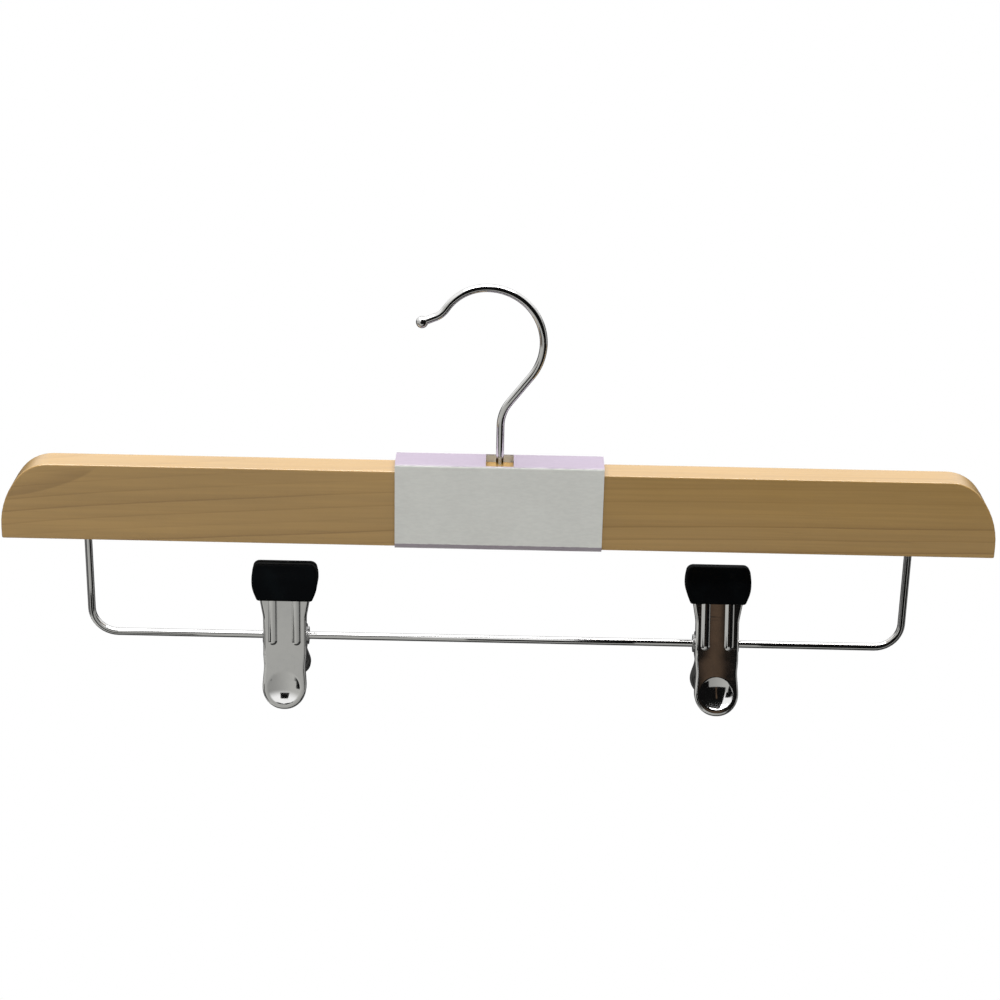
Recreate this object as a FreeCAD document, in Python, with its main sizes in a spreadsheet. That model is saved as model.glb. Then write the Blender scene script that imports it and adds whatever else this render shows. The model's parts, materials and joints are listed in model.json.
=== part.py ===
import FreeCAD, Part
import math
import os
import re

import Sketcher
from FreeCAD import Placement, Rotation, Vector

# A wooden trouser hanger: a bar on a swivelling wire hook, over a wire rail that carries two spring clips.
# The origin is on the swivel axis, at the inside of the hook, where the hanger bears on a rail.
# X runs along the bar, the front faces -Y and Z points up.

# Driving sizes in millimetres and degrees, and counts
SIZES = [
    ("overrun", 2, "how far a cutting shape reaches past what it cuts"),
    ("bar_length", 360, "bar, end to end"),
    ("bar_height", 29, "bar, top to bottom"),
    ("bar_thick", 12, "bar, front to back"),
    ("shoulder_width", 18.5, "length of the bar's rounded top corners"),
    ("shoulder_land", 4, "straight end of the bar below them"),
    ("bar_toe", 0.6, "radius of the bar's bottom corners"),
    ("bar_ease", 0.5, "rounding along the bar's long edges"),
    ("hook_wire", 2.8, "diameter of the hook's wire"),
    ("hook_play", 0.08, "radial clearance of the hook in its bore"),
    ("hook_rise", 16.2, "straight shank above the bar"),
    ("neck_radius", 14.5, "bend above the shank"),
    ("neck_angle", 37.4, "lean of the neck from upright"),
    ("shank_run", 12.4, "straight part of the leaning neck"),
    ("bow_radius", 20.1, "main bow of the hook, at the wire's centre"),
    ("brow_radius", 17.2, "falling side of the bow"),
    ("brow_turn", 54.8, "turn of the falling side past the crest"),
    ("arm_run", 1.2, "straight arm before the tip"),
    ("tip_radius", 7.8, "outward bend of the tip"),
    ("tip_turn", 32.4, "turn of the tip"),
    ("tip_run", 5.1, "straight wire to the middle of the ball"),
    ("ball_width", 4.3, "diameter of the ball on the tip"),
    ("head_width", 6.2, "diameter of the hook's swaged lower end"),
    ("head_thick", 1.6, "thickness of the swaged end"),
    ("head_round", 0.7, "rounding of the swaged end"),
    ("head_play", 0.1, "play between the swaged end and the washer"),
    ("counterbore_width", 9.2, "diameter of the counterbore under the bar"),
    ("counterbore_depth", 6, "depth of the counterbore"),
    ("washer_play", 0.3, "radial clearance of the washer in the counterbore"),
    ("washer_thick", 0.8, "thickness of the washer"),
    ("rail_wire", 2.8, "diameter of the rail's wire"),
    ("rail_span", 299.6, "distance between the rail's legs"),
    ("rail_drop", 39.3, "from the bar's underside to the rail's axis"),
    ("rail_bend", 9.5, "radius of the rail's corners, at the wire's centre"),
    ("rail_inset", 16, "how far the rail's legs go up into the bar"),
    ("rail_fit", 0.04, "radial glue gap of the legs in the bar"),
    ("card_width", 75, "card sleeve along the bar"),
    ("card_thick", 0.5, "thickness of the card"),
    ("card_play", 0.1, "gap between the card and the bar"),
    ("card_rise", 2.3, "how far the loose card stands above the bar"),
    ("card_fold", 0.9, "outer radius of the card's folds"),
    ("card_slot", 10, "slot across the card's top, for the hook"),
    ("left_clip", 78, "middle of the left clip, from the hook's axis"),
    ("right_clip", 81.5, "middle of the right clip, from the hook's axis"),
    ("left_tilt", 2, "turn of the left clip about the rail"),
    ("right_tilt", -10, "turn of the right clip about the rail"),
    ("sheet", 0.8, "sheet steel of the jaws"),
    ("jaw_reach", 28.6, "from the rail's axis up to the steel tip"),
    ("jaw_tip_width", 18.8, "width of the steel tip"),
    ("jaw_tip_length", 11.6, "straight sides of the steel tip"),
    ("jaw_tip_round", 2, "radius of the tip's corners"),
    ("waist_width", 16, "width of the front jaw beside the rail"),
    ("flare_length", 7.5, "height over which the tip narrows to the waist"),
    ("flare_round", 12, "radius where the tip runs into the waist"),
    ("waist_run", 4.5, "height over which the waist narrows to the neck"),
    ("neck_width", 15.2, "narrowest width of the lever"),
    ("neck_run", 6, "height over which the neck widens to the thumb pad"),
    ("thumb_width", 16.2, "width of the thumb pad"),
    ("thumb_flat", 0.8, "straight sides of the thumb pad above its round end"),
    ("sweep_round", 14, "radius of the lever's waisted sides"),
    ("lever_reach", 24, "from the rail's axis down to the lever's end"),
    ("bend_low", 3, "depth of the bend between jaw and lever"),
    ("bend_depth", 7.4, "distance of that bend from the clip's mid plane"),
    ("bend_round", 25, "radius of that bend"),
    ("lever_depth", 14.8, "distance of the lever's end from the mid plane"),
    ("rim_depth", 2.8, "depth of the turned-back rim"),
    ("rim_round", 1.2, "radius of the rim's bend"),
    ("rim_start", 1, "height above the tip's foot where the rim starts"),
    ("ear_radius", 3.6, "round end of the ears"),
    ("ear_height", 6, "half the height of the ears at their root"),
    ("ear_play", 0.2, "gap between front and rear ears"),
    ("ear_inset", 0.2, "how far the ears are drawn in from the rim"),
    ("rib_spacing", 8.7, "distance between the two pressed ribs"),
    ("rib_width", 3.3, "width of a rib"),
    ("rib_proud", 0.75, "height of a rib"),
    ("rib_cover", 5, "how far the ribs run up on the tip, under the cap"),
    ("rib_low", 1, "depth of the lower end of the ribs"),
    ("dish_land", 0.8, "flat land between the thumb pad's dish and its rim"),
    ("dish_depth", 1.5, "depth of the dish"),
    ("dish_round", 1.6, "rounding of the dish's rim"),
    ("cap_gap", 0.3, "gap between the two closed caps"),
    ("cap_wall", 1.3, "wall of the soft caps"),
    ("cap_fit", 0.05, "gap between cap and jaw"),
    ("cap_over", 1.3, "how far the cap reaches past the steel tip"),
    ("cap_cover", 12.4, "how far the cap reaches down from the steel tip"),
    ("cap_width", 24.1, "greatest width of the cap"),
    ("cap_top_width", 22.9, "width of the cap's top edge"),
    ("cap_mouth_width", 20.2, "width of the cap's mouth"),
    ("belly_drop", 4.8, "from the cap's top edge to its widest stretch"),
    ("belly_height", 4.2, "height of the widest stretch"),
    ("belly_round", 12, "radius of the cap's swelling sides"),
    ("cap_corner", 2.6, "radius of the cap's top corners"),
    ("mouth_corner", 1.2, "radius of the corners at the cap's mouth"),
    ("grip_height", 7.4, "height of the flat gripping face"),
    ("cap_taper", 5.2, "height over which the cap thins to its top edge"),
    ("cap_edge_thick", 2, "thickness of the cap's top edge"),
    ("cap_round", 1.1, "rounding of the cap's front edges"),
    ("cap_edge", 0.4, "rounding of the cap's gripping edges"),
    ("eyelet_play", 0.1, "radial clearance of the eyelet on the rail"),
    ("eyelet_wall", 0.8, "wall of the eyelet"),
    ("eyelet_fit", 0.08, "radial clearance of the ears on the eyelet"),
    ("flange_width", 6.6, "diameter of the eyelet's rolled ends"),
    ("flange_thick", 0.6, "thickness of the rolled ends"),
    ("flange_play", 0.08, "play of the ears between the rolled ends"),
    ("spring_wire", 1.2, "diameter of the spring's wire"),
    ("spring_play", 0.5, "radial gap between the spring and the eyelet"),
    ("spring_pitch", 2, "distance from curl to curl"),
    ("spring_turns", 3, "whole turns of the spring"),
    ("spring_past", 1.5, "how far the spring's legs reach below the lever's neck"),
    ("spring_seat", 0.05, "gap between a leg's end and its lever"),
]

# The slanting middle of the bar's top corners, as shares of their length and height
SHOULDER_RUN_SHARE = 0.61
SHOULDER_DROP_SHARE = 0.565
# The arcs at its two ends almost meet
SHOULDER_ROUND_SHARE = 0.97
# The ends of the thumb pads and of the ears are almost half circles
THUMB_ROUND_SHARE = 0.97
EAR_ROUND_SHARE = 0.98

# Sizes that follow from the driving ones
DERIVED = [
    ("shoulder_height", "bar_height - shoulder_land"),
    ("shoulder_run", f"shoulder_width * {SHOULDER_RUN_SHARE}"),
    ("shoulder_drop", f"shoulder_height * {SHOULDER_DROP_SHARE}"),
    ("shoulder_slant", "atan(shoulder_drop / shoulder_run)"),
    ("shoulder_high_round", f"(shoulder_width - shoulder_run) * {SHOULDER_ROUND_SHARE}"
                            " / tan(shoulder_slant / 2)"),
    ("shoulder_low_round", f"(shoulder_height - shoulder_drop) * {SHOULDER_ROUND_SHARE}"
                           " / tan(45 deg - shoulder_slant / 2)"),
    ("bow_x", "neck_radius - (neck_radius + bow_radius) * cos(neck_angle) + shank_run * sin(neck_angle)"),
    ("bow_z", "hook_rise + (neck_radius + bow_radius) * sin(neck_angle) + shank_run * cos(neck_angle)"),
    ("brow_z", "bow_z + bow_radius - brow_radius"),
    ("tip_lean", "brow_turn - tip_turn"),
    ("ball_x", "bow_x - (brow_radius + tip_radius) * sin(brow_turn) - arm_run * cos(brow_turn)"
               " + tip_radius * sin(tip_lean) - tip_run * cos(tip_lean)"),
    ("ball_z", "brow_z + (brow_radius + tip_radius) * cos(brow_turn) - arm_run * sin(brow_turn)"
               " - tip_radius * cos(tip_lean) - tip_run * sin(tip_lean)"),
    ("seat_height", "bow_z + sqrt((bow_radius - hook_wire / 2)^2 - bow_x^2)"),
    ("rail_height", "seat_height + bar_height + rail_drop"),
    ("washer_top", "bar_height - counterbore_depth"),
    ("head_low", "washer_top + washer_thick + head_play + head_thick"),
    ("ear_step", "sheet + ear_play"),
    ("jaw_tip_low", "jaw_reach - jaw_tip_length"),
    ("waist_top", "jaw_tip_low - flare_length"),
    ("rim_top", "jaw_tip_low + rim_start"),
    ("rib_top", "jaw_tip_low + rib_cover"),
    ("thumb_low", "lever_reach - thumb_width / 2 - thumb_flat"),
    ("neck_low", "thumb_low - neck_run"),
    ("waist_low", "neck_low - waist_run"),
    ("dish_low", "lever_reach - thumb_width / 2"),
    ("spring_leg", "neck_low + spring_past"),
    ("cap_top", "jaw_reach + cap_over"),
    ("cap_low", "jaw_reach - cap_cover"),
    ("belly_top", "cap_top - belly_drop"),
    ("belly_low", "belly_top - belly_height"),
    ("cap_meet", "cap_top - grip_height"),
    ("jaw_tip_depth", "cap_gap / 2 + cap_wall + cap_fit + sheet"),
    ("jaw_slope", "(bend_depth - jaw_tip_depth) / (jaw_reach + bend_low)"),
    ("jaw_lean", "atan(jaw_slope)"),
    ("lever_slope", "(lever_depth - bend_depth) / (lever_reach - bend_low)"),
    ("lever_lean", "atan(lever_slope)"),
    ("rim_top_depth", "jaw_tip_depth + (jaw_reach - rim_top) * jaw_slope - sheet"),
    ("rim_waist_depth", "jaw_tip_depth + (jaw_reach - waist_top) * jaw_slope - rim_depth"),
    ("rib_radius", "(rib_width^2 / 4 + rib_proud^2) / (2 * rib_proud)"),
    ("rib_sink", "(rib_radius - rib_proud) / cos(jaw_lean)"),
    ("rib_foot", "rib_width / 2 - rib_low"),
    ("rib_depth", "jaw_tip_depth + (jaw_reach - rib_foot) * jaw_slope - rib_sink"),
    ("rib_length", "(rib_top - rib_foot) / cos(jaw_lean)"),
    ("dish_radius", "thumb_width / 2 - rim_round - dish_land"),
    ("dish_ball", "(dish_radius^2 + dish_depth^2) / (2 * dish_depth)"),
    ("dish_out", "dish_ball - dish_depth"),
    ("dish_y", "bend_depth + (dish_low - bend_low) * lever_slope + dish_out * cos(lever_lean)"),
    ("dish_z", "dish_out * sin(lever_lean) - dish_low"),
    ("ear_top_depth", "jaw_tip_depth + (jaw_reach - ear_height) * jaw_slope - rim_round"),
    ("ear_low_depth", "bend_depth + (ear_height - bend_low) * lever_slope - rim_round"),
    ("eyelet_bore", "rail_wire / 2 + eyelet_play"),
    ("eyelet_radius", "eyelet_bore + eyelet_wall"),
    ("eyelet_half", "waist_width / 2 - ear_inset + flange_play + flange_thick"),
    ("cap_top_depth", "cap_gap / 2 + cap_edge_thick"),
    ("taper_low", "cap_top - cap_taper"),
    ("taper_depth", "jaw_tip_depth + (jaw_reach - taper_low) * jaw_slope + cap_fit + cap_wall"),
    ("cap_low_depth", "jaw_tip_depth + (jaw_reach - cap_low) * jaw_slope + cap_fit + cap_wall"),
    ("cap_mouth_depth", "jaw_tip_depth + (jaw_reach - cap_low) * jaw_slope - sheet - cap_fit - cap_wall"),
]

# Two coordinates closer than this are the same place
TOUCH = 0.001
# Points measured along each arc of a spring
POINTS_PER_ARC = 12
# A place near the end of one side of a corner and one near the start of the next
NEAR_CORNER_SHARES = (0.9, 0.1)
# Faces within about 32 degrees of a direction look that way
SAME_WAY_SHARE = 0.85

doc = FreeCAD.newDocument("TrouserHanger")
sheet = doc.addObject("Spreadsheet::Sheet", "Sizes")
for row, (name, number, meaning) in enumerate(SIZES, 1):
    sheet.set(f"A{row}", name)
    sheet.set(f"B{row}", str(number))
    sheet.set(f"C{row}", meaning)
    sheet.setAlias(f"B{row}", name)
for row, (name, text) in enumerate(DERIVED, len(SIZES) + 1):
    sheet.set(f"A{row}", name)
    sheet.set(f"B{row}", "=" + text)
    sheet.setAlias(f"B{row}", name)
doc.recompute()

NAMES = {entry[0] for entry in SIZES + DERIVED}


def formula(text):
    """The names in a formula become cells of the sheet."""
    return re.sub(r"[a-z_]+", lambda word: "Sizes." + word[0] if word[0] in NAMES else word[0], text)


def tie(item, prop, text):
    """Binds a property to a formula of the sheet."""
    item.setExpression(prop, formula(text))


def value(text):
    """The number that a formula of the sheet gives."""
    return float(sheet.evalExpression(formula(text)))


def new_body(name):
    return doc.addObject("PartDesign::Body", name)


def new_sketch(body, name, plane):
    """An empty sketch on one of the body's own planes."""
    sketch = body.newObject("Sketcher::SketchObject", name)
    support = next(item for item in body.Origin.OriginFeatures if item.Role == plane)
    sketch.AttachmentSupport = [(support, "")]
    sketch.MapMode = "FlatFace"
    return sketch


def pin(sketch, line, direction, text):
    """Ties one coordinate of a line's first end to a formula."""
    row = sketch.addConstraint(Sketcher.Constraint(direction, -1, 1, line, 1, value(text)))
    tie(sketch, f"Constraints[{row}]", text)


def add_polygon(sketch, corners):
    """A closed outline of straight sides, each corner given by two formulas."""
    first = sketch.GeometryCount
    places = [Vector(value(across), value(up), 0) for across, up in corners]
    for index, place in enumerate(places):
        sketch.addGeometry(Part.LineSegment(places[index - 1], place))
    for index in range(len(corners)):
        line = first + index
        before = first + (index - 1) % len(corners)
        sketch.addConstraint(Sketcher.Constraint("Coincident", before, 2, line, 1))
        pin(sketch, line, "DistanceX", corners[index - 1][0])
        pin(sketch, line, "DistanceY", corners[index - 1][1])


def add_circle(sketch, radius):
    """A circle about the sketch's origin."""
    sketch.addGeometry(Part.Circle(Vector(), Vector(0, 0, 1), value(radius)))
    sketch.addConstraint(Sketcher.Constraint("Coincident", 0, 3, -1, 1))
    row = sketch.addConstraint(Sketcher.Constraint("Radius", 0, value(radius)))
    tie(sketch, f"Constraints[{row}]", radius)


def round_corner(sketch, corner, radius):
    """A tangent arc in place of one corner of a lone polygon."""
    sides = sketch.Geometry[corner], sketch.Geometry[corner + 1]
    near = [side.value(share * side.length()) for side, share in zip(sides, NEAR_CORNER_SHARES)]
    sketch.fillet(corner, corner + 1, *near, value(radius), True, True)
    kinds = [item.TypeId for item in sketch.Geometry]
    arc = kinds.index("Part::GeomArcOfCircle")
    row = sketch.addConstraint(Sketcher.Constraint("Radius", arc, value(radius)))
    tie(sketch, f"Constraints[{row}]", radius)


def pad(body, name, plane, loops, length, cut=False, bow=None):
    """A prism, or a cut, of straight-sided outlines, to both sides of their plane; a bow rounds a corner."""
    sketch = new_sketch(body, name + "_outline", plane)
    for corners in loops:
        add_polygon(sketch, corners)
    if bow:
        round_corner(sketch, *bow)
    item = body.newObject("PartDesign::Pocket" if cut else "PartDesign::Pad", name)
    item.Profile = sketch
    item.SideType = "Symmetric"
    tie(item, "Length", length)
    doc.recompute()
    return item


def primitive(body, kind, name, sizes, base, lean=None):
    """A PartDesign solid with its sizes and place tied to the sheet."""
    item = body.newObject("PartDesign::" + kind, name)
    for prop, text in sizes.items():
        tie(item, prop, text)
    if lean:
        item.Placement.Rotation = Rotation(Vector(1, 0, 0), value(lean))
        tie(item, "Placement.Rotation.Angle", lean)
    for axis, text in zip("xyz", base):
        tie(item, "Placement.Base." + axis, text)
    doc.recompute()
    return item


def edges_where(item, test):
    return [f"Edge{index}" for index, edge in enumerate(item.Shape.Edges, 1) if test(edge)]


def straight_edge(axis, places):
    """A test for straight edges along an axis that pass through one of the places."""
    def test(edge):
        ends = [vertex.Point for vertex in edge.Vertexes]
        if len(ends) != 2 or (ends[1] - ends[0]).cross(axis).Length > TOUCH:
            return False
        return any((ends[0] - place).cross(axis).Length < TOUCH for place in places)
    return test


def fillet(body, name, test, radius):
    """Rounds the edges of the body that pass the test."""
    base = body.Tip
    names = edges_where(base, test)
    item = body.newObject("PartDesign::Fillet", name)
    item.Base = (base, names)
    tie(item, "Radius", radius)
    doc.recompute()
    return item


def front_edges(body, direction):
    """The edges round the faces that look in a direction, without those between two such faces."""
    faces = body.Tip.Shape.Faces
    looking = [face for face in faces if face.normalAt(*middle(face)).dot(direction) > SAME_WAY_SHARE]
    found = [edge for face in looking for edge in face.Edges]

    def test(edge):
        return sum(edge.isSame(other) for other in found) == 1
    return test


def middle(face):
    """The parameters of the middle of a face."""
    u_low, u_high, v_low, v_high = face.ParameterRange
    return (u_low + u_high) / 2, (v_low + v_high) / 2


def mirrored(right_side):
    """A closed outline from the corners of its right side, top to bottom."""
    left_side = [(f"-({across})", up) for across, up in reversed(right_side)]
    return right_side + left_side


def both_sides(right_side):
    """The places of each corner of a mirrored outline, right and left."""
    spots = [(value(across), value(up)) for across, up in right_side]
    return [(Vector(across, 0, up), Vector(-across, 0, up)) for across, up in spots]


def wire_path(body, name, start, heading, pieces):
    """A path of straight runs and tangent bends; a bend's turn is positive to the left."""
    sketch = new_sketch(body, name, "XZ_Plane")
    place = Vector(value(start[0]), value(start[1]), 0)
    angle = math.radians(heading)
    ends = []
    for index, piece in enumerate(pieces):
        ahead = Vector(math.cos(angle), math.sin(angle), 0)
        if piece[0] == "run":
            after = place + ahead * value(piece[1])
            sketch.addGeometry(Part.LineSegment(place, after))
            row = sketch.addConstraint(Sketcher.Constraint("Distance", index, value(piece[1])))
            tie(sketch, f"Constraints[{row}]", piece[1])
            ends.append((1, 2))
        else:
            radius = value(piece[1])
            turn = math.radians(value(piece[2]))
            side = math.copysign(1, turn)
            centre = place + Vector(-ahead.y, ahead.x, 0) * radius * side
            angle += turn
            after = centre + Vector(math.sin(angle), -math.cos(angle), 0) * radius * side
            low = math.atan2(*(place - centre)[1::-1])
            high = math.atan2(*(after - centre)[1::-1])
            limits = (low, high) if side > 0 else (high, low)
            circle = Part.Circle(centre, Vector(0, 0, 1), radius)
            sketch.addGeometry(Part.ArcOfCircle(circle, *limits))
            row = sketch.addConstraint(Sketcher.Constraint("Radius", index, radius))
            tie(sketch, f"Constraints[{row}]", piece[1])
            row = sketch.addConstraint(Sketcher.Constraint("Angle", index, abs(turn)))
            tie(sketch, f"Constraints[{row}]", f"abs({piece[2]}) * 1 deg")
            ends.append((1, 2) if side > 0 else (2, 1))
        if index:
            joint = Sketcher.Constraint("Tangent", index - 1, ends[index - 1][1], index, ends[index][0])
            sketch.addConstraint(joint)
        place = after
    sketch.addConstraint(Sketcher.Constraint("Vertical", 0))
    pin(sketch, 0, "DistanceX", start[0])
    pin(sketch, 0, "DistanceY", start[1])
    doc.recompute()
    return sketch


def bent_wire(body, start, heading, pieces, radius):
    """A round wire swept along a path that starts upright."""
    path = wire_path(body, body.Name + "_path", start, heading, pieces)
    section = new_sketch(body, body.Name + "_section", "XY_Plane")
    add_circle(section, radius)
    tie(section, "AttachmentOffset.Base.x", start[0])
    tie(section, "AttachmentOffset.Base.z", start[1])
    doc.recompute()
    sweep = body.newObject("PartDesign::AdditivePipe", body.Name + "_sweep")
    sweep.Profile = section
    sweep.Spine = (path, [f"Edge{index}" for index in range(1, len(pieces) + 1)])
    doc.recompute()
    return sweep


def set_place(item, x="0", z="0", lean=None):
    """Puts a finished piece in the hanger's frame."""
    item.Placement = Placement(Vector(), Rotation(Vector(1, 0, 0), value(lean) if lean else 0))
    tie(item, "Placement.Base.x", x)
    tie(item, "Placement.Base.z", z)
    if lean:
        tie(item, "Placement.Rotation.Angle", lean)


def make_box(name, sizes, base):
    """A Part box with its sizes and its lowest corner tied to the sheet."""
    box = doc.addObject("Part::Box", name)
    for prop, text in zip(("Length", "Width", "Height"), sizes):
        tie(box, prop, text)
    for axis, text in zip("xyz", base):
        tie(box, "Placement.Base." + axis, text)
    return box


def boolean(kind, name, base, tool):
    """A Part boolean of two objects."""
    item = doc.addObject("Part::" + kind, name)
    item.Base = base
    item.Tool = tool
    doc.recompute()
    return item


def make_bar():
    """The wooden bar, with the hook's bore and the sockets of the rail; its top is at zero."""
    body = new_body("wooden_bar")
    half = "bar_length / 2"
    side = [(f"{half} - shoulder_run", "0"), (half, "-shoulder_drop"), (half, "-bar_height")]
    pad(body, "plank", "XZ_Plane", [mirrored(side)], "bar_thick")
    places = both_sides(side)
    rounds = ("shoulder_high_round", "shoulder_low_round", "bar_toe")
    for part, spots, radius in zip(("brows", "shoulders", "toes"), places, rounds):
        fillet(body, part, straight_edge(Vector(0, 1, 0), spots), radius)
    face = value("bar_thick / 2")
    fillet(body, "eased_edges", lambda edge: abs(abs(edge.CenterOfMass.y) - face) < TOUCH, "bar_ease")
    bore = {"Radius": "hook_wire / 2 + hook_play", "Height": "bar_height + 2 * overrun"}
    primitive(body, "SubtractiveCylinder", "hook_bore", bore, ("0", "0", "-bar_height - overrun"))
    counterbore = {"Radius": "counterbore_width / 2", "Height": "counterbore_depth + overrun"}
    primitive(body, "SubtractiveCylinder", "counterbore", counterbore, ("0", "0", "-bar_height - overrun"))
    socket = {"Radius": "rail_wire / 2 + rail_fit", "Height": "rail_inset + overrun"}
    for side, name in (("-", "left_socket"), ("", "right_socket")):
        place = (side + "rail_span / 2", "0", "-bar_height - overrun")
        primitive(body, "SubtractiveCylinder", name, socket, place)
    return body


def make_hook():
    """The swivelling hook, with the ball on its tip and the swaged head under the bar."""
    body = new_body("hook")
    pieces = [
        ("run", "head_low + hook_rise"),
        ("bend", "neck_radius", "-neck_angle"),
        ("run", "shank_run"),
        ("bend", "bow_radius", "90 + neck_angle"),
        ("bend", "brow_radius", "brow_turn"),
        ("run", "arm_run"),
        ("bend", "tip_radius", "-tip_turn"),
        ("run", "tip_run"),
    ]
    bent_wire(body, ("0", "-head_low"), 90, pieces, "hook_wire / 2")
    primitive(body, "AdditiveSphere", "ball", {"Radius": "ball_width / 2"}, ("ball_x", "0", "ball_z"))
    head = {"Radius": "head_width / 2", "Height": "head_thick"}
    primitive(body, "AdditiveCylinder", "head", head, ("0", "0", "-head_low"))
    low = -value("head_low")
    fillet(body, "domed_head", lambda edge: edge.BoundBox.ZMax < low + TOUCH, "head_round")
    return body


def make_washer():
    """The washer that the hook's head turns against."""
    disc = doc.addObject("Part::Cylinder", "washer_disc")
    tie(disc, "Radius", "counterbore_width / 2 - washer_play")
    tie(disc, "Height", "washer_thick")
    hole = doc.addObject("Part::Cylinder", "washer_hole")
    tie(hole, "Radius", "hook_wire / 2 + hook_play")
    tie(hole, "Height", "washer_thick + 2 * overrun")
    tie(hole, "Placement.Base.z", "-overrun")
    return boolean("Cut", "hook_washer", disc, hole)


def make_rail():
    """The wire under the bar, its two legs set in the bar's sockets."""
    body = new_body("drop_bar")
    leg = "rail_inset + rail_drop - rail_bend"
    pieces = [
        ("run", leg),
        ("bend", "rail_bend", "90"),
        ("run", "rail_span - 2 * rail_bend"),
        ("bend", "rail_bend", "90"),
        ("run", leg),
    ]
    bent_wire(body, ("-rail_span / 2", "rail_inset - bar_height"), -90, pieces, "rail_wire / 2")
    return body


def make_card():
    """The folded card sleeve, open in the middle of its top for the hook."""
    body = new_body("card_sleeve")

    def side(gap):
        away = f"bar_thick / 2 + {gap}"
        return [(away, f"card_rise + {gap}"), (away, f"-(bar_height + {gap})")]

    outside, inside = side("card_play + card_thick"), side("card_play")
    pad(body, "sleeve", "YZ_Plane", [mirrored(outside), mirrored(inside)], "card_width")
    folds = [Vector(0, turn * value(y), value(z)) for y, z in outside for turn in (1, -1)]
    fillet(body, "folds", straight_edge(Vector(1, 0, 0), folds), "card_fold")
    slot = {"Length": "card_slot", "Width": "bar_thick + 2 * card_play", "Height": "card_rise + overrun"}
    primitive(body, "SubtractiveBox", "slot", slot, ("-card_slot / 2", "-(bar_thick / 2 + card_play)", "0"))
    return body


def jaw_outline(draw, inset):
    """The jaw's right side, from tip to thumb pad; the waist is drawn in, and all of it by the inset."""
    tip, top = f"jaw_tip_width / 2 - {inset}", f"jaw_reach - {inset}"
    thumb, end = f"thumb_width / 2 - {inset}", f"-(lever_reach - {inset})"
    waist = f"waist_width / 2 - {draw} - {inset}"
    return [
        (tip, top),
        (tip, "jaw_tip_low"),
        (waist, "waist_top"),
        (waist, "-waist_low"),
        (f"neck_width / 2 - {draw} - {inset}", "-neck_low"),
        (thumb, "-thumb_low"),
        (thumb, end),
    ]


def pressed_form(name, facing, draw, inset):
    """The solid that a jaw's sheet wraps, drawn in by an inset, still deep and with a sharp front edge."""
    body = new_body(name)
    side = jaw_outline(draw, inset)
    pad(body, name + "_prism", "XZ_Plane", [mirrored(side)], "2 * (lever_depth + overrun)")
    places = both_sides(side)
    rounds = [
        ("tip", places[0], f"jaw_tip_round - {inset}"),
        ("flare", places[1] + places[2], "flare_round"),
        ("sweep", places[3] + places[4] + places[5], "sweep_round"),
        ("thumb", places[6], f"(thumb_width / 2 - {inset}) * {THUMB_ROUND_SHARE}"),
    ]
    for part, spots, radius in rounds:
        fillet(body, f"{name}_{part}", straight_edge(Vector(0, 1, 0), spots), radius)
    far, above, below = "lever_depth + 2 * overrun", "jaw_reach + overrun", "-(lever_reach + overrun)"
    depths = ("jaw_tip_depth", "bend_depth", "lever_depth")
    tip, bend, end = (f"{facing} * ({depth} - {inset})" for depth in depths)
    front = [(tip, above), (tip, "jaw_reach"), (bend, "-bend_low"), (end, "-lever_reach"), (end, below)]
    front += [(f"{facing} * ({far})", below), (f"{facing} * ({far})", above)]
    bow = (front.index((bend, "-bend_low")), f"bend_round + {inset}")
    pad(body, name + "_front", "YZ_Plane", [front], "jaw_tip_width + 2 * overrun", cut=True, bow=bow)
    return body


def round_rim(body, facing, inset):
    """The bend of the sheet from the jaw's front into its rim."""
    fillet(body, body.Name + "_rim", front_edges(body, Vector(0, value(facing), 0)), f"rim_round - {inset}")


def cut_back(body, facing, inset):
    """Cuts a form off at the back of the sheet near its tip and at the edge of the rim below."""
    far, above, below = "lever_depth + 2 * overrun", "jaw_reach + overrun", "-(lever_reach + overrun)"
    line = [
        ("jaw_tip_depth - sheet", above),
        ("jaw_tip_depth - sheet", "jaw_reach"),
        ("rim_top_depth", "rim_top"),
        ("rim_waist_depth", "waist_top"),
        ("bend_depth - rim_depth", "-bend_low"),
        ("lever_depth - rim_depth", "-lever_reach"),
        ("lever_depth - rim_depth", below),
    ]
    back = [(f"{facing} * ({depth} + {inset})", up) for depth, up in line]
    back += [(f"{facing} * -({far})", below), (f"{facing} * -({far})", above)]
    pad(body, body.Name + "_back", "YZ_Plane", [back], "jaw_tip_width + 2 * overrun", cut=True)


def add_ribs(body, facing, grow):
    """Two round ribs along a jaw, with ball ends."""
    for side in ("-1", "1"):
        base = (f"{side} * rib_spacing / 2", f"{facing} * rib_depth", "rib_foot")
        shape = {"Radius": f"rib_radius + {grow}", "Height": f"rib_length + {grow}"}
        primitive(body, "AdditiveCylinder", f"{body.Name}_rib", shape, base, f"{facing} * jaw_lean")
        primitive(body, "AdditiveSphere", f"{body.Name}_rib_end", {"Radius": f"rib_radius + {grow}"}, base)


def cut_dish(body, facing, grow):
    """The round dish of the thumb pad, with a soft rim."""
    ball = {"Radius": f"dish_ball + {grow}"}
    primitive(body, "SubtractiveSphere", f"{body.Name}_dish", ball, ("0", f"{facing} * dish_y", "dish_z"))
    fillet(body, f"{body.Name}_dish_rim", lambda edge: len(edge.Vertexes) == 1, f"dish_round - {grow}")


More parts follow.
